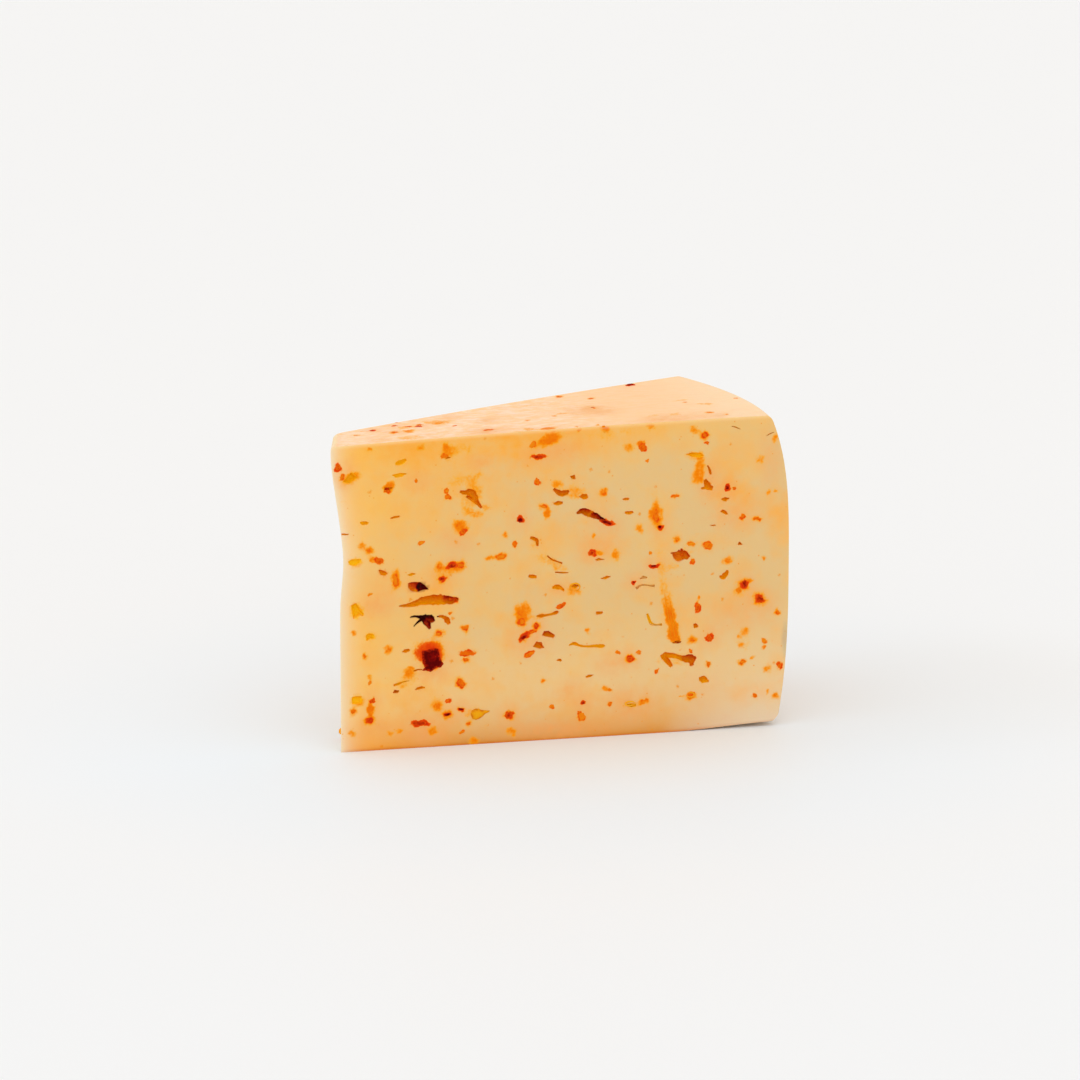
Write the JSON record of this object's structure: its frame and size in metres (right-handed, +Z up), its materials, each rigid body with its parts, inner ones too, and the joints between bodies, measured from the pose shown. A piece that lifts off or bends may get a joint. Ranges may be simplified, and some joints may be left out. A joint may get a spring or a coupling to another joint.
{
  "type": "cheese wedge",
  "caption": "Wedge cut from a semi-hard wheel cheese with chilli flakes, with a curved rind, small irregular holes and a blunt cut tip.",
  "frame": {"origin": "middle of the wedge's base on the table", "axes": "+X along the front cut from the tip to the rind, +Y from the front cut towards the back cut, +Z up"},
  "size_m": [0.109, 0.0532, 0.0749],
  "materials": {
    "cheese": "moist cut cheese, creamy yellow with orange oil stains, softly satin"
  },
  "bodies": {
    "root": {"cheese_wedge": "cheese"}
  },
  "joints": []
}
